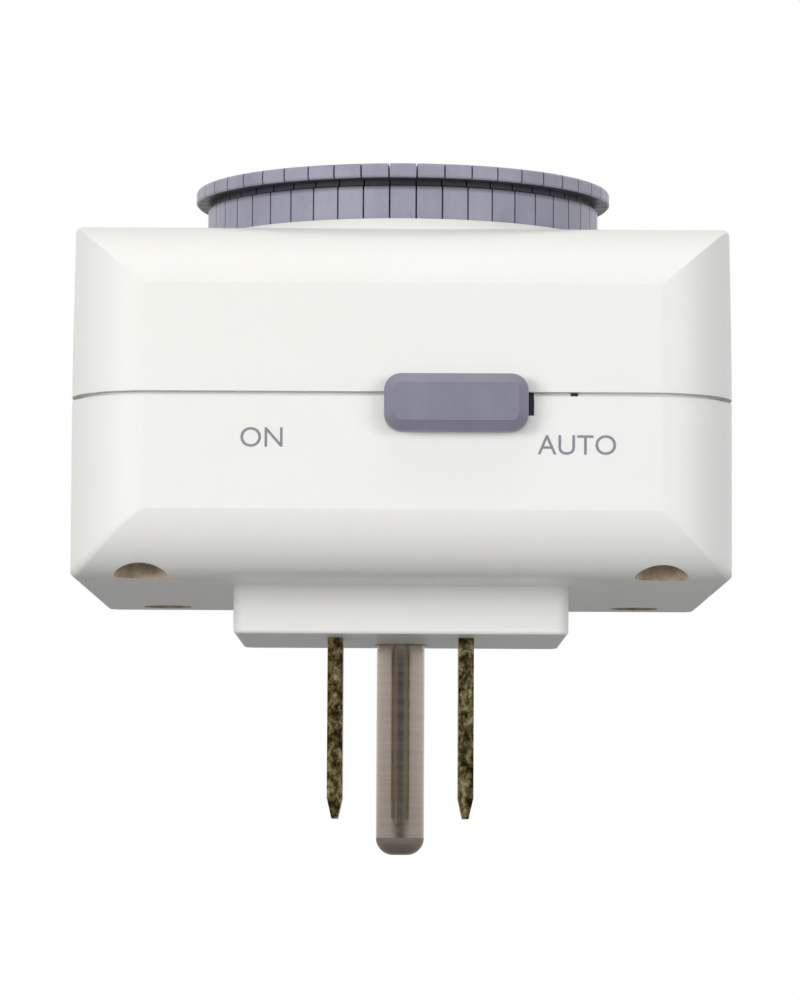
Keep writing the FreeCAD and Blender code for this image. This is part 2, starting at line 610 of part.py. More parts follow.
def make_front_cover():
    """Front half of the case, with the raised ring round the dial."""
    body = new_body("front_cover")
    pad(body, "XY_Plane", cover_base, dim.front_height, loops=[plan_outline(0)])
    waste = [
        (dim.edge_depth - half_depth, cover_face, edge_radius, 1),
        (-half_depth, cover_face - dim.edge_drop),
        (-half_depth - outside, cover_face - dim.edge_drop),
        (-half_depth - outside, cover_face + outside),
        (dim.edge_depth - half_depth, cover_face + outside),
    ]
    pocket(body, "YZ_Plane", 0, dim.body_width * 2, loops=[waste], both=True)
    wedges = []
    for side in (-1, 1):
        wedges.append([
            (side * half_width, cover_base),
            (side * (half_width - dim.side_draft), cover_face),
            (side * (half_width - dim.side_draft), cover_face + 1),
            (side * (half_width + outside), cover_face + 1),
            (side * (half_width + outside), cover_base),
        ])
    shell = pocket(body, "XZ_Plane", 0, dim.body_depth * 2, loops=wedges, both=True)
    round_edges(body, shell, dim.edge_rounding, cover_face.number, behind=0)
    foot = dim.collar_radius + dim.collar_flare
    ring = [
        (dim.dial_hole_radius, cover_face - 1), (foot, cover_face - 1), (foot, cover_face - 0.05),
        (dim.collar_radius, cover_face + dim.collar_height),
        (dim.dial_hole_radius, cover_face + dim.collar_height),
    ]
    turn(body, ring, level=dim.dial_offset)
    inner_height = dim.front_height - dim.edge_drop
    pocket(body, "XY_Plane", cover_base, inner_height, loops=[plan_outline(dim.wall)], reverse=True)
    inner_side = half_width - dim.wall - dim.side_draft
    upper = rectangle(-inner_side, inner_side, inner_front, half_depth - dim.wall)
    pocket(body, "XY_Plane", cover_base + inner_height, dim.edge_drop - dim.wall, loops=[upper], reverse=True)
    rebate = dim.tongue_height - dim.parting_gap + dim.seam_clearance
    step = [plan_outline(dim.tongue_inset - dim.seam_clearance)]
    pocket(body, "XY_Plane", cover_base, rebate, loops=step, reverse=True)
    opening = [(0, dial_y, dim.dial_hole_radius)]
    pocket(body, "XY_Plane", cover_face + outside, dim.wall + outside * 2, circles=opening)
    for x, y in screw_places:
        pad(body, "XY_Plane", cover_base, cover_inside - cover_base, circles=[(x, y, dim.screw_boss_radius)])
    plate_bosses = [(x, y, dim.plate_boss_radius) for x, y in plate_screw_places]
    pad(body, "XY_Plane", plate_top, cover_inside - plate_top, circles=plate_bosses)
    pilots = [(x, y, dim.screw_radius) for x, y in screw_places]
    pocket(body, "XY_Plane", cover_base, dim.pilot_depth, circles=pilots, reverse=True)
    plate_pilots = [(x, y, dim.plate_screw_radius) for x, y in plate_screw_places]
    pocket(body, "XY_Plane", plate_top, dim.plate_pilot_depth, circles=plate_pilots, reverse=True)
    half_outlet = dim.outlet_width / 2
    opening = rectangle(-half_outlet, half_outlet, cover_base - 1, outlet_middle + dim.outlet_height / 2)
    pocket(body, "XZ_Plane", -half_depth - 1, dim.wall + 2, loops=[opening], reverse=True)
    return body


def make_housing_screws():
    """Four long pan head screws that hold the two shells together."""
    body = new_body("housing_screws")
    seat = back_face + dim.counterbore_depth
    heads = [(x, y, dim.screw_head_radius) for x, y in screw_places]
    pad(body, "XY_Plane", seat - dim.screw_head_height, dim.screw_head_height, circles=heads)
    shanks = [(x, y, dim.screw_radius) for x, y in screw_places]
    pad(body, "XY_Plane", seat, dim.screw_length, circles=shanks)
    long_half = dim.cross_length / 2
    short_half = dim.cross_width / 2
    for x, y in screw_places:
        for across, along in ((long_half, short_half), (short_half, long_half)):
            cross = rectangle(x - across, x + across, y - along, y + along)
            pocket(body, "XY_Plane", seat - dim.screw_head_height, dim.cross_depth, loops=[cross], reverse=True)
    return body


def make_blade(name, side):
    """Flat blade, punched from sheet, with a tapered tip and a foot folded flat inside."""
    body = new_body(name)
    half = dim.blade_thickness / 2
    tip_top = dim.blade_tip - dim.blade_length
    foot_top = floor_top + dim.blade_head
    outline = [
        (-half, tip_top), (dim.blade_taper - half, -dim.blade_length),
        (half - dim.blade_taper, -dim.blade_length), (half, tip_top),
    ]
    if side < 0:
        foot_end = half + dim.blade_foot
        outline += [(half, floor_top), (foot_end, floor_top), (foot_end, foot_top), (-half, foot_top)]
    else:
        foot_end = -half - dim.blade_foot
        outline += [(half, foot_top), (foot_end, foot_top), (foot_end, floor_top), (-half, floor_top)]
    pad(body, "XZ_Plane", 0, dim.blade_width, loops=[outline], both=True)
    move(body, x=side * dim.blade_pitch / 2, y=blade_y)
    return body


def make_ground_pin():
    """Round ground pin, turned, with a rounded tip and a collar inside."""
    body = new_body("ground_pin")
    flat = dim.ground_radius - dim.ground_tip
    loop = [
        (0, -dim.ground_length), (flat, -dim.ground_length, dim.ground_tip, 1),
        (dim.ground_radius, dim.ground_tip - dim.ground_length), (dim.ground_radius, -dim.neck_proud),
        (ground_neck, -dim.neck_proud), (ground_neck, floor_top),
        (dim.ground_head_radius, floor_top), (dim.ground_head_radius, floor_top + dim.blade_head),
        (0, floor_top + dim.blade_head),
    ]
    turn(body, loop)
    move(body, y=ground_y)
    return body


def tripper_outline():
    """Half section of one segment: top, finger lip, groove under it, and skirt."""
    top = cover_face + dim.segment_top
    lip_base = top - dim.lip_thickness
    foot = top - dim.segment_height
    lip = dim.lip_radius
    skirt = dim.skirt_radius
    return [
        (dim.lip_inner_radius, lip_base), (dim.skirt_inner_radius, lip_base),
        (dim.skirt_inner_radius, foot), (skirt, foot), (skirt, lip_base - dim.neck_height),
        (skirt - dim.neck_depth, lip_base - dim.neck_height * 0.7),
        (skirt - dim.neck_depth, lip_base), (lip - 0.2, lip_base), (lip, lip_base + 0.2),
        (lip, top - dim.lip_rounding, dim.lip_rounding, 1), (lip - dim.lip_rounding, top),
        (dim.lip_inner_radius + 0.3, top), (dim.lip_inner_radius, top - 0.3),
    ]


def make_tripper_blank():
    """One segment with its sliding rib, standing to the right of the dial axis."""
    body = new_body("segment_blank")
    gap_angle = dim.segment_gap / dim.skirt_radius * 57.29578
    sketch_angle = 360 / dim.segment_count - gap_angle
    loop = tripper_outline()
    feature = turn(body, loop, angle=sketch_angle)
    feature.Midplane = True
    doc.recompute()
    foot = cover_face + dim.segment_top - dim.segment_height
    half_key = dim.key_width / 2
    key_inner = dim.skirt_inner_radius - dim.key_depth
    key = rectangle(key_inner, dim.skirt_inner_radius + 0.2, -half_key, half_key)
    key_height = dim.segment_height - dim.lip_thickness
    pad(body, "XY_Plane", foot, key_height, loops=[key])
    return body


def make_trippers():
    """The 48 half hour segments, in 24 nodes of one hour each."""
    blank = make_tripper_blank()
    pitch = 360 / dim.segment_count.number
    axis = FreeCAD.Vector(0, 0, 1)
    centre = FreeCAD.Vector(0, dial_y.number, 0)
    for hour in range(int(dim.segment_count.number / 2)):
        pair = []
        for half in (0, 1):
            angle = -90 + (2 * hour + half) * pitch
            turned = FreeCAD.Placement(FreeCAD.Vector(), FreeCAD.Rotation(axis, angle))
            pair.append(blank.Shape.transformed(turned.toMatrix()))
        node = doc.addObject("Part::Feature", f"trippers_hour_{hour:02d}")
        node.Shape = Part.Compound(pair)
        node.Placement = FreeCAD.Placement(centre, FreeCAD.Rotation())
        keep(node, f"trippers_hour_{hour:02d}")


def gear_wire(teeth, backlash, shift_angle, level):
    """Outline of an involute spur gear with flanks of four points."""
    module = dim.gear_module.number
    pitch_radius = module * teeth / 2
    pressure = math.radians(20)
    base_radius = pitch_radius * math.cos(pressure)
    root_radius = pitch_radius - 1.2 * module
    tip_radius = pitch_radius + 0.9 * module
    half_tooth = (math.pi * module / 2 - backlash) / 2 / pitch_radius
    involute_at_pitch = math.tan(pressure) - pressure

    def half_angle(radius):
        tangent = math.acos(min(1, base_radius / radius))
        return half_tooth + involute_at_pitch - (math.tan(tangent) - tangent)

    radii = [max(root_radius, base_radius), pitch_radius, tip_radius]
    points = []
    for tooth in range(teeth):
        middle = math.radians(shift_angle) + 2 * math.pi * tooth / teeth
        low = half_angle(radii[0])
        flank = [(root_radius, -low)] if root_radius < radii[0] else []
        flank += [(radius, -half_angle(radius)) for radius in radii]
        flank += [(radius, -angle) for radius, angle in reversed(flank)]
        for radius, angle in flank:
            x = radius * math.cos(middle + angle)
            y = radius * math.sin(middle + angle)
            points.append(FreeCAD.Vector(x, y, level))
    return Part.makePolygon(points + [points[0]])


def make_gear(name, teeth, level, width, bore, shift_angle):
    """Spur gear as a solid with a round bore."""
    wire = gear_wire(teeth, dim.gear_backlash.number / 2, shift_angle, level.number)
    blank = Part.Face(wire).extrude(FreeCAD.Vector(0, 0, width.number))
    hole = Part.makeCylinder(bore.number, width.number * 3, FreeCAD.Vector(0, 0, level.number - width.number))
    gear = doc.addObject("Part::Feature", name)
    gear.Shape = blank.cut(hole)
    return gear


drum_base = plate_top + 1.3
gear_base = drum_base + 0.2
table_top = cover_face + dim.segment_top - 1.05
drum_shoulder = cover_face + dim.segment_top - dim.lip_thickness - dim.segment_travel - 0.37
gear_centres = dim.gear_module * (dim.drum_teeth + dim.pinion_teeth) / 2


def make_timing_drum():
    """Drum that carries the segments, with 48 keyways, a hub and the driven gear."""
    body = new_body("drum_shell")
    bore = dim.post_radius + dim.running_clearance
    inner = dim.drum_radius - dim.drum_wall
    wall_foot = cover_face - 5.6
    web = table_top - dim.table_thickness
    loop = [
        (bore, drum_base), (dim.hub_radius, drum_base), (dim.hub_radius, web), (inner, web),
        (inner, wall_foot), (dim.drum_radius, wall_foot), (dim.drum_radius, drum_shoulder),
        (dim.table_radius, drum_shoulder), (dim.table_radius, table_top), (bore, table_top),
    ]
    turn(body, loop)
    half_slot = dim.key_width / 2 + dim.key_clearance
    slot_floor = dim.skirt_inner_radius - dim.key_depth - dim.key_clearance
    slot = rectangle(slot_floor, dim.drum_radius + 1, -half_slot, half_slot)
    keyway = pocket(body, "XY_Plane", drum_shoulder, drum_shoulder - wall_foot, loops=[slot])
    repeat_round(body, keyway, dim.segment_count)
    teeth = int(dim.drum_teeth.number)
    gear = make_gear("drum_gear", teeth, gear_base, dim.gear_width, dim.hub_radius - 0.5, 180 / teeth)
    drum = doc.addObject("Part::Fuse", "timing_drum")
    drum.Base = body
    drum.Tool = gear
    tie(drum, "Placement.Base.y", dial_y)
    doc.recompute()
    return drum


def make_drive_pinion():
    """Pinion on the motor's output shaft."""
    body = new_body("pinion_shaft")
    shaft = 1.2
    loop = [
        (0, plate_base - 4), (shaft, plate_base - 4), (shaft, gear_base + 0.2), (2.4, gear_base + 0.2),
        (2.4, gear_base + 2.2), (0, gear_base + 2.2),
    ]
    turn(body, loop)
    teeth = int(dim.pinion_teeth.number)
    gear = make_gear("pinion_gear", teeth, gear_base + 0.2, dim.gear_width, dim.post_radius / 3, 0)
    pinion = doc.addObject("Part::Fuse", "drive_pinion")
    pinion.Base = body
    pinion.Tool = gear
    tie(pinion, "Placement.Base.x", gear_centres)
    tie(pinion, "Placement.Base.y", dial_y)
    doc.recompute()
    return pinion


def make_dial_face():
    """Printed disc on the drum, carrying the hours."""
    body = new_body("dial_face")
    loop = [(5.2, table_top), (15.6, table_top), (15.6, table_top + 0.25), (15.45, table_top + 0.4),
            (5.2, table_top + 0.4)]
    turn(body, loop)
    move(body, y=dial_y)
    return body


def make_dial_post():
    """Fixed post that the drum turns on, staked into the mechanism plate."""
    body = new_body("dial_post")
    loop = [
        (0, plate_base), (2.0, plate_base), (2.0, plate_top), (4.5, plate_top), (4.5, plate_top + 1.1),
        (dim.post_radius, plate_top + 1.1), (dim.post_radius, table_top + 0.15), (2.0, table_top + 0.15),
        (2.0, table_top + 2.0), (0, table_top + 2.0),
    ]
    turn(body, loop)
    move(body, y=dial_y)
    return body


def make_dial_retainer():
    """Washer that keeps the drum on its post."""
    body = new_body("dial_retainer")
    turn(body, rectangle(2.0, 4.5, table_top + 0.15, table_top + 0.75))
    move(body, y=dial_y)
    return body


def make_pointer_hub():
    """Fixed pointer in the middle of the dial, which shows the time of day."""
    body = new_body("pointer_hub")
    low = table_top + 0.75
    loop = [
        (2.0, low), (6.4, low), (6.4, low + 0.8), (5.4, low + 1.7), (0, low + 1.7), (0, table_top + 2.0),
        (2.0, table_top + 2.0),
    ]
    turn(body, loop)
    arrow = [(-2.6, -5.0), (0, -13.5), (2.6, -5.0)]
    pad(body, "XY_Plane", low, 0.9, loops=[arrow])
    move(body, y=dial_y)
    return body


def make_mechanism_plate():
    """Moulded plate that carries the post, the motor, the switch and the trip lever."""
    body = new_body("mechanism_plate")
    outline = rounded_rectangle(-dim.plate_side, dim.plate_side, -dim.plate_front, dim.plate_rear,
                                dim.plate_corner)
    pad(body, "XY_Plane", plate_base, dim.plate_thickness, loops=[outline])
    play = dim.plate_hole_play
    holes = [(x, y, dim.plate_screw_radius + play) for x, y in plate_screw_places]
    holes.append((0, dial_y, dim.post_neck_radius))
    holes.append((gear_centres, dial_y, dim.shaft_radius + dim.running_clearance))
    holes += [(motor_x, y, dim.motor_screw_radius + play) for y in motor_screw_rows]
    pocket(body, "XY_Plane", plate_top, dim.plate_thickness, circles=holes)
    window = rectangle(-20.5, -16.7, -9.5, -0.6)
    pocket(body, "XY_Plane", plate_top, dim.plate_thickness, loops=[window])
    ears = [rectangle(-22.2, -20.4, -14.0, -10.0), rectangle(-16.8, -15.0, -14.0, -10.0)]
    pad(body, "XY_Plane", plate_top, 3.2, loops=ears)
    pin_hole = [(lever_y, lever_z, dim.lever_pin_radius)]
    pocket(body, "YZ_Plane", -14, 10, circles=pin_hole)
    return body


def make_motor_can():
    """Synchronous motor in its drawn steel can, with a beaded edge."""
    body = new_body("motor_can")
    low = plate_base - dim.gearbox_height - dim.motor_height
    high = plate_base - dim.gearbox_height
    radius = dim.motor_radius
    loop = [
        (0, low), (3.0, low), (3.0, low + 0.6), (5.0, low + 0.6), (5.0, low), (radius - 0.8, low, 0.8, 1),
        (radius, low + 0.8), (radius, high - 1.4), (radius + 0.7, high - 1.0), (radius + 0.7, high),
        (0, high),
    ]
    turn(body, loop)
    move(body, x=motor_x, y=motor_y)
    return body


def make_motor_gearbox():
    """Case of the reduction gears, with two screw ears."""
    body = new_body("motor_gearbox")
    half = dim.gearbox_side / 2
    base = plate_base - dim.gearbox_height
    case = rounded_rectangle(motor_x - half, motor_x + half, motor_y - half, motor_y + half, dim.gearbox_corner)
    pad(body, "XY_Plane", base, dim.gearbox_height, loops=[case])
    half_ear = dim.motor_ear_width / 2
    reach = dim.motor_ear_reach
    ears = rounded_rectangle(motor_x - half_ear, motor_x + half_ear, motor_y - reach, motor_y + reach,
                             dim.motor_ear_corner)
    pad(body, "XY_Plane", plate_base - dim.motor_ear_thickness, dim.motor_ear_thickness, loops=[ears])
    holes = [(gear_centres, dial_y, dim.shaft_radius + dim.running_clearance)]
    pocket(body, "XY_Plane", plate_base, dim.shaft_depth + dim.shaft_end_gap, circles=holes)
    screws = [(motor_x, y, dim.motor_screw_radius) for y in motor_screw_rows]
    pocket(body, "XY_Plane", plate_base, dim.motor_ear_thickness, circles=screws)
    return body


def make_motor_screws():
    """Two small screws that hold the motor under the plate."""
    body = new_body("motor_screws")
    shanks = [(motor_x, y, dim.motor_screw_radius) for y in motor_screw_rows]
    shank_length = dim.plate_thickness + dim.motor_ear_thickness
    pad(body, "XY_Plane", plate_base - dim.motor_ear_thickness, shank_length, circles=shanks)
    heads = [(motor_x, y, dim.motor_screw_head) for y in motor_screw_rows]
    pad(body, "XY_Plane", plate_top, dim.motor_head_height, circles=heads)
    return body


def make_plate_screws():
    """Three screws that hold the mechanism plate to the bosses of the front cover."""
    body = new_body("plate_screws")
    head = [(x, y, dim.plate_screw_head) for x, y in plate_screw_places]
    pad(body, "XY_Plane", plate_base - dim.plate_head_height, dim.plate_head_height, circles=head)
    shank = [(x, y, dim.plate_screw_radius) for x, y in plate_screw_places]
    pad(body, "XY_Plane", plate_base, dim.plate_screw_length, circles=shank)
    return body


def make_switch_body():
    """Snap switch under the plate."""
    body = new_body("switch_body")
    left = switch_x - dim.switch_width / 2
    right = switch_x + dim.switch_width / 2
    front = -dim.switch_front
    loop = rounded_rectangle(left, right, front, front + dim.switch_length, dim.switch_corner)
    pad(body, "XY_Plane", plate_base - dim.switch_height, dim.switch_height, loops=[loop])
    hole = [(switch_x, plunger_y, dim.plunger_radius + dim.running_clearance)]
    pocket(body, "XY_Plane", plate_base, 3.0, circles=hole)
    pins = [(y, plate_base - dim.switch_height + 2.5, 1.2) for y in (-13.0, 0.8)]
    pocket(body, "YZ_Plane", left - 1, dim.switch_width + 2, circles=pins, reverse=True)
    return body


def make_switch_plunger():
    """Button of the snap switch."""
    body = new_body("switch_plunger")
    top = lever_z - 0.9 - 0.1
    low = plate_base - 2.2
    r = dim.plunger_radius
    turn(body, [(0, low), (r, low), (r, top - 0.4), (r - 0.4, top), (0, top)])
    move(body, x=switch_x, y=plunger_y)
    return body


def make_lever_pin():
    """Steel pin of the trip lever."""
    body = new_body("lever_pin")
    pad(body, "YZ_Plane", -22.2, 7.2, circles=[(lever_y, lever_z, dim.lever_pin_radius)])
    return body


def make_trip_lever():
    """Lever that a pushed segment presses down onto the switch's button."""
    body = new_body("trip_lever")
    z = lever_z
    nose = z + 3.6
    arm = [
        (lever_y - 7.5, z - 0.5), (lever_y, z - 0.9), (-1.6, z - 0.9), (-1.6, z + 1.4), (-2.2, nose),
        (-4.2, nose), (-6.4, z + 1.0), (lever_y, z + 0.9), (lever_y - 7.5, z + 0.6),
    ]
    pad(body, "YZ_Plane", -19.9, 2.6, loops=[arm])
    pad(body, "YZ_Plane", -19.9, 2.6, circles=[(lever_y, z, 1.6)])
    hole = [(lever_y, z, dim.lever_pin_radius + dim.running_clearance)]
    pocket(body, "YZ_Plane", -21, 6, circles=hole, reverse=True)
    return body


def make_mode_slider():
    """Slide knob with its stem, its inner plate and the arm that reaches the trip lever."""
    body = new_body("mode_slider")
    front = half_depth + dim.knob_depth + dim.knob_wall_gap
    half_w = dim.knob_width / 2
    half_h = dim.knob_height / 2
    foot = rounded_rectangle(dim.knob_offset - half_w, dim.knob_offset + half_w,
                             knob_level - half_h, knob_level + half_h, dim.knob_corner)
    knob = pad(body, "XZ_Plane", half_depth + dim.knob_wall_gap, dim.knob_depth, loops=[foot])
    face = [
        f"Edge{number}" for number, edge in enumerate(knob.Shape.Edges, start=1)
        if all(abs(vertex.Y + front.number) < 1e-4 for vertex in edge.Vertexes)
    ]
    bevel = body.newObject("PartDesign::Chamfer", "knob_bevel")
    bevel.Base = (knob, face)
    tie(bevel, "Size", dim.knob_bevel)
    doc.recompute()
    half_stem = dim.stem_height / 2
    stem = rectangle(stem_left, stem_right, knob_level - half_stem, knob_level + half_stem)
    stem_root = slider_face - dim.slider_thickness / 2
    pad(body, "XZ_Plane", stem_root, half_depth + dim.knob_wall_gap + 0.3 - stem_root, loops=[stem])
    left = dim.knob_offset - dim.slider_left
    right = dim.knob_offset + dim.slider_right
    plate = rectangle(left, right, slider_low, slider_low + dim.slider_height)
    pad(body, "XZ_Plane", slider_back, dim.slider_thickness, loops=[plate])
    arm_low = plate_top + 0.4
    arm_right = left + dim.slider_arm_width
    riser = rectangle(left, arm_right, knob_level, arm_low + dim.slider_arm_height)
    pad(body, "XZ_Plane", slider_back, dim.slider_thickness, loops=[riser])
    arm = rectangle(left, arm_right, arm_low, arm_low + dim.slider_arm_height)
    pad(body, "XZ_Plane", slider_back, dim.slider_arm_reach, loops=[arm], reverse=True)
    return body


def make_slider_spring():
    """Leaf spring that keeps the slider in its two places, held by the guide ribs."""
    body = new_body("slider_spring")
    end = dim.guide_place - dim.guide_width / 2
    front = 0.9 - slider_back
    back = front + dim.spring_thickness
    crest = front - dim.spring_crest
    crest_back = crest + dim.spring_thickness
    leaf = [
        (-end, back), (-end, front), (-4.0, front), (-1.0, crest), (1.0, crest), (4.0, front),
        (end, front), (end, back), (3.9, back), (0.9, crest_back), (-0.9, crest_back), (-3.9, back),
    ]
    pad(body, "XY_Plane", knob_level - dim.spring_height / 2, dim.spring_height, loops=[leaf])
    return body


def make_outlet_face():
    """Outlet insert in the wall opposite the switch, with two blade slots and a ground hole."""
    body = new_body("outlet_face")
    half_w = dim.outlet_width / 2 - dim.outlet_gap
    half_h = dim.outlet_height / 2 - dim.outlet_gap
    low = outlet_middle - half_h
    high = outlet_middle + half_h
    face = rounded_rectangle(-half_w, half_w, low, high, dim.outlet_corner)
    outer = half_depth + dim.outlet_proud
    pad(body, "XZ_Plane", -outer, dim.wall + dim.outlet_proud, loops=[face])
    inner = half_depth - dim.wall
    rim = dim.outlet_flange
    flange = rectangle(-half_w - rim, half_w + rim, low - rim, high + rim)
    pad(body, "XZ_Plane", -inner, dim.flange_thickness, loops=[flange])
    half_slot = dim.slot_length / 2
    slots = blade_slots(dim.slot_width / 2, slot_level - half_slot, slot_level + half_slot)
    depth = dim.wall + dim.outlet_proud + dim.flange_thickness
    pocket(body, "XZ_Plane", -outer, depth, loops=slots, reverse=True)
    ground = [(0, ground_level, dim.outlet_ground_radius)]
    pocket(body, "XZ_Plane", -outer, depth, circles=ground, reverse=True)
    return body


carrier_back = dim.carrier_back
carrier_front = half_depth - dim.wall - dim.flange_thickness
cell_back = carrier_back + dim.carrier_wall


def make_contact_carrier():
    """Moulded block with a cell for each contact."""
    body = new_body("contact_carrier")
    block = rectangle(-11.0, 11.0, carrier_back, carrier_front)
    pad(body, "XY_Plane", floor_top, slot_level + 5.0 - floor_top, loops=[block])
    cells = []
    for side in (-1, 1):
        middle = side * dim.blade_pitch / 2
        cells.append(rectangle(middle - 2.2, middle + 2.2, slot_level - 4.0, slot_level + 4.0))
    cells.append(rectangle(-3.7, 3.7, ground_level - 3.7, ground_level + 3.7))
    pocket(body, "XZ_Plane", -carrier_front, carrier_front - cell_back, loops=cells, reverse=True)
    tails = [rectangle(side * dim.blade_pitch / 2 - 1.5, side * dim.blade_pitch / 2 + 1.5,
                       slot_level - 1.5, slot_level + 1.5) for side in (-1, 1)]
    tails.append(rectangle(-1.5, 1.5, ground_level - 1.5, ground_level + 1.5))
    pocket(body, "XZ_Plane", -carrier_front, carrier_front - carrier_back, loops=tails, reverse=True)
    return body


def make_contact(name, x, level, half_gap, half_height):
    """Spring contact bent to a U that grips a blade or a pin, with a tail to the strap."""
    body = new_body(name)
    sheet_metal = dim.contact_thickness
    out = half_gap + sheet_metal
    mouth = carrier_front - 0.6
    bend = cell_back + sheet_metal
    outline = [
        (-out, cell_back), (out, cell_back), (out, mouth - 1.6), (out + 0.5, mouth),
        (out + 0.5 - sheet_metal, mouth), (half_gap, mouth - 1.6), (half_gap, bend), (-half_gap, bend),
        (-half_gap, mouth - 1.6), (sheet_metal - out - 0.5, mouth), (-out - 0.5, mouth),
        (-out, mouth - 1.6),
    ]
    pad(body, "XY_Plane", level - half_height, half_height * 2, loops=[outline])
    tail = rectangle(-1.4, 1.4, level - 1.4, level + 1.4)
    pad(body, "XZ_Plane", -cell_back, cell_back - carrier_back, loops=[tail])
    move(body, x=x)
    return body


def make_strap(name, x, start_y, high):
    """Brass strap from a pin's foot along the back wall and up to its contact."""
    body = new_body(name)
    t = dim.strap_thickness
    base = floor_top + dim.blade_head
    outline = [
        (start_y, base), (carrier_back, base), (carrier_back, high), (carrier_back - t, high),
        (carrier_back - t, base + t), (start_y, base + t),
    ]
    pad(body, "YZ_Plane", 0, dim.strap_width, loops=[outline], both=True)
    move(body, x=x)
    return body


def make_line_strap():
    """Brass strap from the live blade to the snap switch."""
    body = new_body("line_strap")
    t = dim.strap_thickness
    base = floor_top + dim.blade_head
    switch_low = plate_base - dim.switch_height
    outline = [
        (-dim.blade_pitch / 2 + 2, base), (-dim.blade_pitch / 2 + 2, base + t), (t - 18.5, base + t),
        (t - 18.5, switch_low), (-18.5, switch_low), (-18.5, base),
    ]
    pad(body, "XZ_Plane", dim.blade_offset, dim.strap_width, loops=[outline], both=True)
    return body


def make_load_strap():
    """Brass strap from the snap switch to the live contact of the outlet."""
    body = new_body("load_strap")
    t = dim.strap_thickness
    switch_low = plate_base - dim.switch_height
    bar = [(-18.5, 1.5), (-18.5 + t, 1.5), (-18.5 + t, carrier_back - t), (-5.0, carrier_back - t),
           (-5.0, carrier_back), (-18.5, carrier_back)]
    pad(body, "XY_Plane", switch_low - 3.0, 3.0, loops=[bar])
    riser = rectangle(-8.0, -5.0, switch_low - 3.0, slot_level + 1.4)
    pad(body, "XZ_Plane", -carrier_back, t, loops=[riser])
    return body


keep(make_rear_housing(), "rear_housing")
keep(make_front_cover(), "front_cover")
keep(make_housing_screws(), "housing_screws")
keep(make_blade("line_blade", -1), "line_blade")
keep(make_blade("neutral_blade", 1), "neutral_blade")
keep(make_ground_pin(), "ground_pin")
keep(make_timing_drum(), "timing_drum")
keep(make_dial_face(), "dial_face")
make_trippers()
keep(make_drive_pinion(), "drive_pinion")
keep(make_dial_post(), "dial_post")
keep(make_dial_retainer(), "dial_retainer")
keep(make_pointer_hub(), "pointer_hub")
keep(make_mechanism_plate(), "mechanism_plate")
keep(make_plate_screws(), "plate_screws")
keep(make_motor_can(), "motor_can")
keep(make_motor_gearbox(), "motor_gearbox")
keep(make_motor_screws(), "motor_screws")
keep(make_switch_body(), "switch_body")
keep(make_switch_plunger(), "switch_plunger")
keep(make_lever_pin(), "lever_pin")
keep(make_trip_lever(), "trip_lever")
keep(make_mode_slider(), "mode_slider")
keep(make_slider_spring(), "slider_spring")
keep(make_outlet_face(), "outlet_face")
keep(make_contact_carrier(), "contact_carrier")
keep(make_contact("line_contact", -dim.blade_pitch / 2, slot_level, 0.7, 3.6), "line_contact")
keep(make_contact("neutral_contact", dim.blade_pitch / 2, slot_level, 0.7, 3.6), "neutral_contact")
keep(make_contact("ground_contact", as_size(0), ground_level, 2.3, 3.0), "ground_contact")
keep(make_strap("neutral_strap", dim.blade_pitch / 2, -2.0, slot_level + 1.4), "neutral_strap")
keep(make_strap("ground_strap", as_size(0), 6.0, ground_level + 1.4), "ground_strap")
keep(make_line_strap(), "line_strap")
keep(make_load_strap(), "load_strap")

doc.recompute()
for thing in doc.Objects:
    if "Invalid" in thing.State or "Error" in thing.State:
        raise ValueError(f"{thing.Name} is {thing.State}")
os.makedirs("parts", exist_ok=True)
for node in NODES:
    if node.Shape.isNull() or not node.Shape.isValid():
        raise ValueError(f"{node.Label} has no valid shape")
    node.Shape.exportStep(f"parts/{node.Label}.step")
print(f"{len(NODES)} pieces written")
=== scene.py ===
import math
import bpy
from mathutils import Matrix, Vector


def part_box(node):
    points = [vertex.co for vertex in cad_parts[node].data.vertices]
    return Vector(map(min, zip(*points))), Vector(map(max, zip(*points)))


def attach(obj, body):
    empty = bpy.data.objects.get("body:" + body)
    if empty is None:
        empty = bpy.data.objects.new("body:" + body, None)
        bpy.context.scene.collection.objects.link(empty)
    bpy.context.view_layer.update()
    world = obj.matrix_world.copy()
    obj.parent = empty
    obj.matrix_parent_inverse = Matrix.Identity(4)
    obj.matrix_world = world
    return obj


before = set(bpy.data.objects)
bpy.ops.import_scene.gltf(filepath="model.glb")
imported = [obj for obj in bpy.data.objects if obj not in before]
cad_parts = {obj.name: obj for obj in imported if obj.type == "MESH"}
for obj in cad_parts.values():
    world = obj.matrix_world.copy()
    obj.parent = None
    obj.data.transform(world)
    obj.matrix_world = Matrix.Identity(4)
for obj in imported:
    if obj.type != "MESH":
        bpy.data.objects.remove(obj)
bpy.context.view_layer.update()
scene = bpy.context.scene

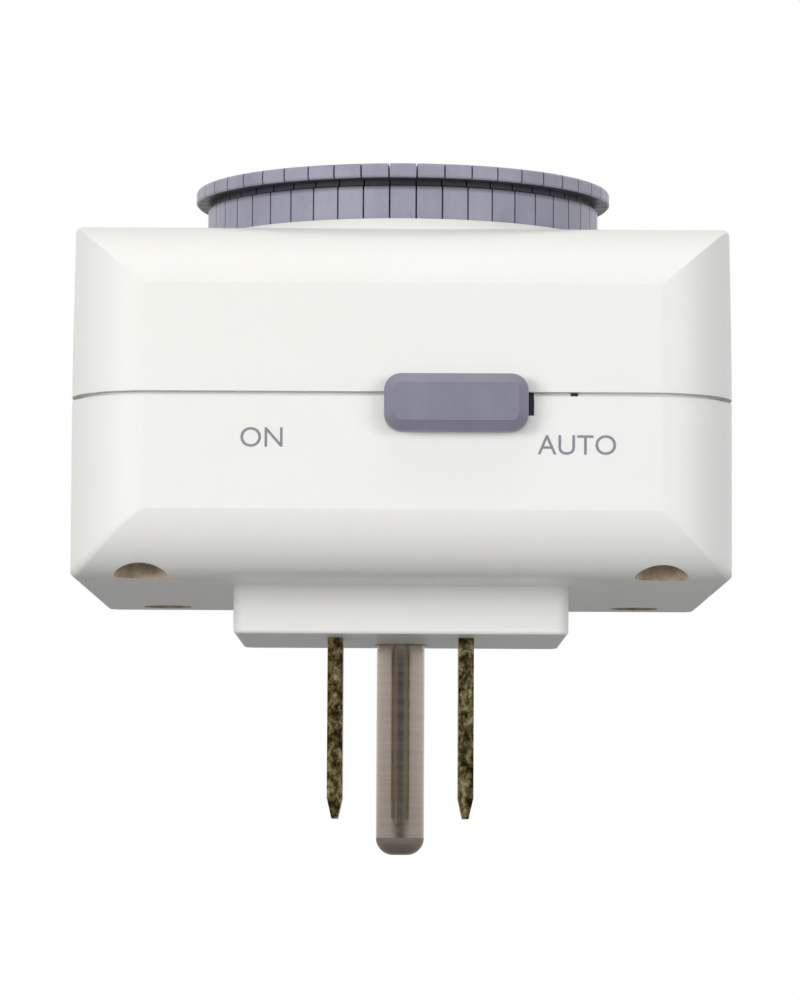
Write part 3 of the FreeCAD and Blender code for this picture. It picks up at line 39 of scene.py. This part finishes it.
# The camera stands a little below the plug's pins, square to the switch side, and looks slightly up.
# Its distance and height come from where the receding edges of the case meet in the photograph.
camera_place = Vector((0.0, -0.444, -0.0215))
focal_pixels = 4500.0
frame_height_pixels = 1000.0
frame_middle = (400.0, 500.0)
eye_level_pixel = 860.0
middle_line_pixel = 401.5
camera_roll = math.radians(0.28)
camera_data = bpy.data.cameras.new("camera")
camera_data.sensor_width = 36.0
camera_data.lens = camera_data.sensor_width * focal_pixels / frame_height_pixels
camera = bpy.data.objects.new("camera", camera_data)
scene.collection.objects.link(camera)
pitch = math.atan((eye_level_pixel - frame_middle[1]) / focal_pixels)
yaw = math.atan((middle_line_pixel - frame_middle[0]) / focal_pixels)
turn = (Matrix.Rotation(yaw, 4, "Z") @ Matrix.Rotation(math.pi / 2 + pitch, 4, "X")
        @ Matrix.Rotation(camera_roll, 4, "Z"))
camera.matrix_world = Matrix.Translation(camera_place) @ turn
scene.camera = camera


# Case shells. Two injection moulded halves in warm white ABS with a satin gloss.
# The rear half carries the plug block, and the front half the raised ring round the dial.
# They meet at a groove that shows the tongue of the rear half.
def new_material(name):
    material = bpy.data.materials.new(name)
    material.use_nodes = True
    tree = material.node_tree
    return material, tree, tree.nodes["Principled BSDF"]


def object_noise(tree, scale, detail=2.0, roughness=0.5, stretch=(1.0, 1.0, 1.0)):
    place = tree.nodes.new("ShaderNodeTexCoord")
    mapping = tree.nodes.new("ShaderNodeMapping")
    mapping.inputs["Scale"].default_value = stretch
    tree.links.new(place.outputs["Object"], mapping.inputs["Vector"])
    noise = tree.nodes.new("ShaderNodeTexNoise")
    noise.inputs["Scale"].default_value = scale
    noise.inputs["Detail"].default_value = detail
    noise.inputs["Roughness"].default_value = roughness
    tree.links.new(mapping.outputs["Vector"], noise.inputs["Vector"])
    return noise.outputs["Fac"]


def ramp(tree, source, stops):
    """A colour for each value of the source, from a list of (value, colour)."""
    node = tree.nodes.new("ShaderNodeValToRGB")
    elements = node.color_ramp.elements
    while len(elements) < len(stops):
        elements.new(0.5)
    for element, (position, colour) in zip(elements, stops):
        element.position = position
        element.color = (*colour, 1.0)
    tree.links.new(source, node.inputs["Fac"])
    return node.outputs["Color"]


def grey(value):
    return (value, value, value)


def add_bump(tree, shader, source, distance, strength):
    bump = tree.nodes.new("ShaderNodeBump")
    bump.inputs["Distance"].default_value = distance
    bump.inputs["Strength"].default_value = strength
    tree.links.new(source, bump.inputs["Height"])
    tree.links.new(bump.outputs["Normal"], shader.inputs["Normal"])


def give(node, material):
    """Puts a material into every slot of a piece."""
    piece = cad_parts[node]
    if not piece.data.materials:
        piece.data.materials.append(material)
    for slot in piece.material_slots:
        slot.material = material


case_white, tree, shader = new_material("case_white")
shader.inputs["Roughness"].default_value = 0.30
shader.inputs["Specular IOR Level"].default_value = 0.45
shader.inputs["Subsurface Weight"].default_value = 0.10
shader.inputs["Subsurface Radius"].default_value = (0.004, 0.003, 0.002)
shader.inputs["Subsurface Scale"].default_value = 0.4
clouds = object_noise(tree, 22.0)
cream = ramp(tree, clouds, [(0.35, (0.885, 0.880, 0.840)), (0.65, (0.892, 0.888, 0.868))])
tree.links.new(cream, shader.inputs["Base Color"])
add_bump(tree, shader, object_noise(tree, 9000.0), 0.000004, 0.35)
for node in ("rear_housing", "front_cover", "outlet_face", "pointer_hub"):
    give(node, case_white)

# Screw wells of the rear half. Their walls are tinted tan by their place, to match the photograph. Their
# walls are painted a darker tan by their place, as painted shade in the deep recesses. The photograph
# doesn't show whether the tan is the screw, its hole or a stain, so this is a guess.
# The warm tint of that painted shade is a guess.
painted_well_shade, tree, shader = new_material("painted_well_shade")
shader.inputs["Roughness"].default_value = 0.5
painted_shade_tan = ramp(tree, object_noise(tree, 900.0), [(0.35, (0.44, 0.34, 0.23)), (0.7, (0.70, 0.58, 0.44))])
tree.links.new(painted_shade_tan, shader.inputs["Base Color"])
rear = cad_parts["rear_housing"]
rear.data.materials.append(painted_well_shade)
well_slot = len(rear.data.materials) - 1
screws_low, screws_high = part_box("housing_screws")
head_radius = 0.0023
screw_x = screws_high[0] - head_radius
screw_rows = (screws_low[1] + head_radius, screws_high[1] - head_radius)
well_radius = 0.0026
well_mouth = 0.0048
well_floor = 0.0096
# Faces inside the wells get the painted shade colour.
for face in rear.data.polygons:
    x, y, z = face.center
    near_x = abs(abs(x) - screw_x)
    near_y = min(abs(y - row) for row in screw_rows)
    if math.hypot(near_x, near_y) < well_radius and well_mouth < z < well_floor:
        face.material_index = well_slot


# Labels beside the knob, pad printed in grey ink on the rear half.
# They are plain words for the two places of the switch: always on, and on the timer.
# The words on the real case are left out, so these and their place are a guess.
ink_grey, tree, shader = new_material("ink_grey")
shader.inputs["Roughness"].default_value = 0.45
worn = ramp(tree, object_noise(tree, 3500.0), [(0.3, (0.235, 0.225, 0.265)), (0.7, (0.285, 0.275, 0.320))])
tree.links.new(worn, shader.inputs["Base Color"])
ink_thickness = 0.00001
cap_share = 0.70    # height of a capital as a share of the letter size


def printed_word(name, word, cap_height, place, turned, material):
    """A flat printed word as a mesh, its middle at a place."""
    bpy.ops.object.select_all(action="DESELECT")
    bpy.ops.object.text_add(location=(0.0, 0.0, 0.0))
    text = bpy.context.object
    text.data.body = word
    text.data.align_x = "CENTER"
    text.data.align_y = "CENTER"
    text.data.size = cap_height / cap_share
    text.data.extrude = ink_thickness
    text.data.resolution_u = 4
    bpy.ops.object.convert(target="MESH")
    piece = bpy.context.object
    piece.name = name
    piece.data.transform(Matrix.Translation(place) @ turned)
    piece.data.materials.append(material)
    return piece


front_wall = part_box("rear_housing")[0][1]
facing_front = Matrix.Rotation(math.pi / 2, 4, "X")
label_height = 0.00184
for name, word, x, z in (("label_on", "ON", -0.0129, 0.0172), ("label_auto", "AUTO", 0.0162, 0.0166)):
    label = printed_word(name, word, label_height, Vector((x, front_wall, z)), facing_front, ink_grey)
    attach(label, "housing")


# Segments. 48 small mouldings in lavender grey ABS, two to each named hour.
# Each slides in its keyway in the drum. The dark belt under the finger lip is a painted shadow:
# the lamps don't give that shade on the solid itself.
def lavender_grey(name, scuffs):
    material, tree, shader = new_material(name)
    shader.inputs["Roughness"].default_value = 0.33
    shader.inputs["Specular IOR Level"].default_value = 0.5
    flow = object_noise(tree, 300.0, detail=5.0, roughness=0.6, stretch=(1.0, 1.0, 0.5))
    shade = ramp(tree, flow, [(0.32, (0.270, 0.268, 0.348)), (0.5, (0.308, 0.306, 0.386)),
                              (0.70, (0.350, 0.347, 0.428)), (0.78, scuffs)])
    tree.links.new(shade, shader.inputs["Base Color"])
    add_bump(tree, shader, object_noise(tree, 700.0), 0.00003, 0.4)
    return material, tree, shader, shade


shadow_band_low = 0.0410
shadow_band_high = 0.0430


def darker_under_lip(tree, shader, shade):
    """Paints a shadow: darkens a belt of the segments' height, just under the lip."""
    place = tree.nodes.new("ShaderNodeTexCoord")
    split = tree.nodes.new("ShaderNodeSeparateXYZ")
    tree.links.new(place.outputs["Object"], split.inputs["Vector"])
    height = tree.nodes.new("ShaderNodeMapRange")
    height.inputs["From Min"].default_value = shadow_band_low
    height.inputs["From Max"].default_value = shadow_band_high
    tree.links.new(split.outputs["Z"], height.inputs["Value"])
    # Painted shadow: near black across the belt under the lip, full colour above and below it.
    painted_shadow_band = ramp(tree, height.outputs["Result"], [(0.30, grey(1.0)), (0.55, grey(0.13)), (0.83, grey(0.12)),
                                                 (0.88, grey(1.0))])
    mix = tree.nodes.new("ShaderNodeMix")
    mix.data_type = "RGBA"
    mix.blend_type = "MULTIPLY"
    mix.inputs["Factor"].default_value = 1.0
    tree.links.new(shade, mix.inputs["A"])
    tree.links.new(painted_shadow_band, mix.inputs["B"])
    tree.links.new(mix.outputs["Result"], shader.inputs["Base Color"])


segment_grey, tree, shader, shade = lavender_grey("segment_grey", (0.38, 0.37, 0.43))
darker_under_lip(tree, shader, shade)
scuffed_grey, tree, shader, shade = lavender_grey("scuffed_grey", (0.68, 0.66, 0.66))
darker_under_lip(tree, shader, shade)
for hour in range(24):
    give(f"trippers_hour_{hour:02d}", scuffed_grey if hour == 0 else segment_grey)


# Drum and slide knob, in the same grey as the segments but plainer.
# The knob's stem goes through the slot in the tongue to the slider inside.
smooth_grey, tree, shader, shade = lavender_grey("smooth_grey", (0.38, 0.375, 0.45))
shade.node.color_ramp.elements[0].color = (0.212, 0.208, 0.264, 1.0)
shade.node.color_ramp.elements[1].color = (0.228, 0.224, 0.282, 1.0)
shade.node.color_ramp.elements[2].color = (0.250, 0.246, 0.305, 1.0)
shade.node.color_ramp.elements[3].color = (0.262, 0.258, 0.318, 1.0)
for node in ("timing_drum", "mode_slider"):
    give(node, smooth_grey)


# Dial face. A printed plastic disc on the drum that turns with it.
# It carries plain hour numbers, and a tick for each half hour.
dial_paper, tree, shader = new_material("dial_paper")
shader.inputs["Roughness"].default_value = 0.5
fibre = ramp(tree, object_noise(tree, 1500.0), [(0.3, (0.80, 0.80, 0.78)), (0.7, (0.86, 0.86, 0.84))])
tree.links.new(fibre, shader.inputs["Base Color"])
give("dial_face", dial_paper)
face_low, face_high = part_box("dial_face")
face_radius = (face_high[0] - face_low[0]) / 2
dial_centre = Vector(((face_low[0] + face_high[0]) / 2, (face_low[1] + face_high[1]) / 2, face_high[2]))
number_inset = 0.0033
number_height = 0.0015
degrees_an_hour = 15.0
first_number_turn = 3.75
number_radius = face_radius - number_inset
prints = []
for hour in range(24):
    angle = -math.pi / 2 + math.radians(degrees_an_hour * hour + first_number_turn)
    way = Vector((math.cos(angle), math.sin(angle), 0.0))
    turned = Matrix.Rotation(angle + math.pi / 2, 4, "Z")
    place = dial_centre + way * number_radius
    prints.append(printed_word(f"hour_number_{hour}", str(hour), number_height, place, turned, ink_grey))
tick_length = 0.0009
tick_width = 0.00018
tick_inset = 0.0004
for half_hour in range(48):
    angle = math.radians(degrees_an_hour / 2 * half_hour)
    way = Vector((math.cos(angle), math.sin(angle), 0.0))
    reach = face_radius - tick_inset - tick_length / 2
    bpy.ops.object.select_all(action="DESELECT")
    bpy.ops.mesh.primitive_cube_add(size=1.0)
    tick = bpy.context.object
    size = Matrix.Diagonal((tick_length, tick_width, ink_thickness * 2, 1.0))
    tick.data.transform(Matrix.Translation(dial_centre + way * reach) @ Matrix.Rotation(angle, 4, "Z") @ size)
    tick.data.materials.append(ink_grey)
    prints.append(tick)
bpy.ops.object.select_all(action="DESELECT")
for piece in prints:
    piece.select_set(True)
bpy.context.view_layer.objects.active = prints[0]
bpy.ops.object.join()
dial_print = bpy.context.object
dial_print.name = "dial_print"
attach(dial_print, "dial")


# Plug blades. Brass strip under a thin nickel plate, punched, so the narrow sides are torn and pitted.
# Each stands in its slot in the plug block, with its foot folded flat inside.
blade_metal, tree, shader = new_material("blade_metal")
shader.inputs["Metallic"].default_value = 1.0
pits = object_noise(tree, 1500.0, detail=5.0, roughness=0.75, stretch=(1.0, 1.0, 0.7))
brass = ramp(tree, pits, [(0.40, (0.035, 0.028, 0.015)), (0.50, (0.20, 0.155, 0.06)),
                          (0.58, (0.50, 0.42, 0.18)), (0.68, (0.85, 0.80, 0.58))])
drawn = object_noise(tree, 400.0, stretch=(1.0, 1.0, 0.1))
plate = ramp(tree, drawn, [(0.3, (0.60, 0.54, 0.40)), (0.7, (0.70, 0.64, 0.50))])
surface_way = tree.nodes.new("ShaderNodeTexCoord")
split = tree.nodes.new("ShaderNodeSeparateXYZ")
tree.links.new(surface_way.outputs["Normal"], split.inputs["Vector"])
broad = tree.nodes.new("ShaderNodeMath")
broad.operation = "ABSOLUTE"
tree.links.new(split.outputs["X"], broad.inputs[0])
plated = tree.nodes.new("ShaderNodeMix")
plated.data_type = "RGBA"
tree.links.new(broad.outputs["Value"], plated.inputs["Factor"])
tree.links.new(brass, plated.inputs["A"])
tree.links.new(plate, plated.inputs["B"])
tree.links.new(plated.outputs["Result"], shader.inputs["Base Color"])
shader.inputs["Roughness"].default_value = 0.3
torn = tree.nodes.new("ShaderNodeMath")
torn.operation = "SUBTRACT"
torn.inputs[0].default_value = 1.0
tree.links.new(broad.outputs["Value"], torn.inputs[1])
relief = tree.nodes.new("ShaderNodeMath")
relief.operation = "MULTIPLY"
tree.links.new(torn.outputs["Value"], relief.inputs[0])
tree.links.new(pits, relief.inputs[1])
add_bump(tree, shader, relief.outputs["Value"], 0.00010, 0.7)
for node in ("line_blade", "neutral_blade"):
    give(node, blade_metal)


# Ground pin. Turned brass rod under bright nickel, with faint turning marks and a rounded tip.
# Its neck is moulded into the plug block.
pin_metal, tree, shader = new_material("pin_metal")
shader.inputs["Metallic"].default_value = 1.0
turning = object_noise(tree, 90.0, detail=3.0, stretch=(1.0, 1.0, 26.0))
nickel = ramp(tree, turning, [(0.3, (0.385, 0.325, 0.275)), (0.7, (0.455, 0.390, 0.335))])
tree.links.new(nickel, shader.inputs["Base Color"])
polish = ramp(tree, turning, [(0.3, grey(0.16)), (0.7, grey(0.22))])
tree.links.new(polish, shader.inputs["Roughness"])
give("ground_pin", pin_metal)


# Metal inside the case: bright steel screws, pins and spring, the motor's can, and brass contacts.
# Screws and pins are turned or headed, and contacts and straps punched from strip.
def metal(name, dark, light, roughness, stretch):
    material, tree, shader = new_material(name)
    shader.inputs["Metallic"].default_value = 1.0
    brushed = object_noise(tree, 900.0, detail=3.0, stretch=stretch)
    tree.links.new(ramp(tree, brushed, [(0.3, dark), (0.7, light)]), shader.inputs["Base Color"])
    matt = ramp(tree, brushed, [(0.3, grey(roughness)), (0.7, grey(roughness + 0.15))])
    tree.links.new(matt, shader.inputs["Roughness"])
    return material


bright_steel = metal("bright_steel", (0.52, 0.51, 0.48), (0.68, 0.67, 0.63), 0.25, (1.0, 1.0, 0.2))
can_steel = metal("can_steel", (0.45, 0.46, 0.47), (0.60, 0.60, 0.60), 0.32, (1.0, 1.0, 6.0))
strip_brass = metal("strip_brass", (0.66, 0.48, 0.20), (0.82, 0.64, 0.32), 0.28, (0.2, 1.0, 1.0))
for node in ("housing_screws", "plate_screws", "motor_screws", "dial_post", "dial_retainer", "lever_pin",
             "slider_spring"):
    give(node, bright_steel)
give("motor_can", can_steel)
for node in ("line_contact", "neutral_contact", "ground_contact", "neutral_strap", "ground_strap",
             "line_strap", "load_strap"):
    give(node, strip_brass)


# Inner mouldings: natural acetal for the plate, gears and lever, black phenolic round live metal.
# They stay unpainted, as moulded.
def moulding(name, dark, light, roughness):
    material, tree, shader = new_material(name)
    shader.inputs["Roughness"].default_value = roughness
    cloud = object_noise(tree, 180.0, detail=4.0)
    tree.links.new(ramp(tree, cloud, [(0.3, dark), (0.7, light)]), shader.inputs["Base Color"])
    add_bump(tree, shader, object_noise(tree, 4000.0), 0.00001, 0.4)
    return material


natural_acetal = moulding("natural_acetal", (0.70, 0.67, 0.58), (0.78, 0.75, 0.67), 0.45)
black_phenolic = moulding("black_phenolic", (0.015, 0.015, 0.016), (0.03, 0.03, 0.032), 0.4)
for node in ("drive_pinion", "mechanism_plate", "motor_gearbox", "switch_plunger", "trip_lever"):
    give(node, natural_acetal)
for node in ("switch_body", "contact_carrier"):
    give(node, black_phenolic)


# Studio. A pale floor below the hanging plug, a pale surround and wide soft lamps at both sides.
# The camera sees the far floor and the surround as plain white, as the cut-out photograph does.
# Near the plug it sees lit paper with the shadow. Other rays see the grey paper all over.
floor_level = -0.045
bpy.ops.object.select_all(action="DESELECT")
bpy.ops.mesh.primitive_plane_add(size=8.0, location=(0.0, 0.0, floor_level))
floor = bpy.context.object
floor.name = "floor"
floor_paper, tree, shader = new_material("floor_paper")
shader.inputs["Base Color"].default_value = (0.48, 0.48, 0.48, 1.0)
shader.inputs["Roughness"].default_value = 0.9
near_paper = tree.nodes.new("ShaderNodeBsdfDiffuse")
near_paper.inputs["Color"].default_value = (0.90, 0.90, 0.90, 1.0)
far_white = tree.nodes.new("ShaderNodeEmission")
far_white.inputs["Strength"].default_value = 1.0
place = tree.nodes.new("ShaderNodeTexCoord")
reach = tree.nodes.new("ShaderNodeVectorMath")
reach.operation = "LENGTH"
tree.links.new(place.outputs["Object"], reach.inputs[0])
fade = tree.nodes.new("ShaderNodeMapRange")
fade.interpolation_type = "SMOOTHSTEP"
fade.inputs["From Min"].default_value = 0.03
fade.inputs["From Max"].default_value = 0.18
tree.links.new(reach.outputs["Value"], fade.inputs["Value"])
seen_floor = tree.nodes.new("ShaderNodeMixShader")
tree.links.new(fade.outputs["Result"], seen_floor.inputs["Fac"])
tree.links.new(near_paper.outputs["BSDF"], seen_floor.inputs[1])
tree.links.new(far_white.outputs["Emission"], seen_floor.inputs[2])
floor_ray = tree.nodes.new("ShaderNodeLightPath")
floor_mix = tree.nodes.new("ShaderNodeMixShader")
tree.links.new(floor_ray.outputs["Is Camera Ray"], floor_mix.inputs["Fac"])
tree.links.new(shader.outputs["BSDF"], floor_mix.inputs[1])
tree.links.new(seen_floor.outputs["Shader"], floor_mix.inputs[2])
tree.links.new(floor_mix.outputs["Shader"], tree.nodes["Material Output"].inputs["Surface"])
floor.data.materials.append(floor_paper)

# The world lights the object softly, and the camera sees it plain white.
# Metal and glass see another picture: near black behind the camera and near white behind the plug.
# That gives the pin its dark middle line, and it is not the white background that the camera sees.
world = bpy.data.worlds.new("surround")
scene.world = world
world.use_nodes = True
tree = world.node_tree
soft_light = tree.nodes["Background"]
soft_light.inputs["Color"].default_value = (1.0, 1.0, 1.0, 1.0)
soft_light.inputs["Strength"].default_value = 0.22
seen_white = tree.nodes.new("ShaderNodeBackground")
seen_white.inputs["Color"].default_value = (1.0, 1.0, 1.0, 1.0)
direction = tree.nodes.new("ShaderNodeTexCoord")
split = tree.nodes.new("ShaderNodeSeparateXYZ")
tree.links.new(direction.outputs["Generated"], split.inputs["Vector"])
room = tree.nodes.new("ShaderNodeMapRange")
room.inputs["From Min"].default_value = -1.0
room.inputs["From Max"].default_value = 0.2
tree.links.new(split.outputs["Y"], room.inputs["Value"])
mirrored = tree.nodes.new("ShaderNodeBackground")
room_shades = [(0.01, grey(0.10)), (0.08, grey(0.50)), (0.35, grey(0.85)), (0.9, grey(0.95))]
tree.links.new(ramp(tree, room.outputs["Result"], room_shades), mirrored.inputs["Color"])
ray = tree.nodes.new("ShaderNodeLightPath")
either = tree.nodes.new("ShaderNodeMath")
either.operation = "MAXIMUM"
tree.links.new(ray.outputs["Is Glossy Ray"], either.inputs[0])
tree.links.new(ray.outputs["Is Transmission Ray"], either.inputs[1])
first_mix = tree.nodes.new("ShaderNodeMixShader")
tree.links.new(either.outputs["Value"], first_mix.inputs["Fac"])
tree.links.new(soft_light.outputs["Background"], first_mix.inputs[1])
tree.links.new(mirrored.outputs["Background"], first_mix.inputs[2])
second_mix = tree.nodes.new("ShaderNodeMixShader")
tree.links.new(ray.outputs["Is Camera Ray"], second_mix.inputs["Fac"])
tree.links.new(first_mix.outputs["Shader"], second_mix.inputs[1])
tree.links.new(seen_white.outputs["Background"], second_mix.inputs[2])
tree.links.new(second_mix.outputs["Shader"], tree.nodes["World Output"].inputs["Surface"])


def soft_lamp(name, place, width, height, watts):
    """A soft rectangular lamp that looks at the middle of the case. No reflection shows it."""
    data = bpy.data.lights.new(name, "AREA")
    data.shape = "RECTANGLE"
    data.size = width
    data.size_y = height
    data.energy = watts
    lamp = bpy.data.objects.new(name, data)
    lamp.location = place
    lamp.visible_glossy = False
    way = Vector((0.0, 0.0, 0.02)) - Vector(place)
    lamp.rotation_euler = way.to_track_quat("-Z", "Y").to_euler()
    scene.collection.objects.link(lamp)


soft_lamp("left_lamp", (-0.72, -0.78, 0.04), 0.5, 0.7, 9.0)
soft_lamp("right_lamp", (0.72, -0.78, 0.02), 0.5, 0.7, 5.7)
soft_lamp("overhead_lamp", (0.05, -0.10, 0.70), 0.6, 0.5, 1.6)
soft_lamp("back_lamp", (0.45, 1.10, 0.50), 0.6, 0.6, 3.0)
soft_lamp("front_lamp", (-0.12, -1.05, 0.04), 0.4, 0.4, 1.8)
scene.view_settings.view_transform = "Standard"
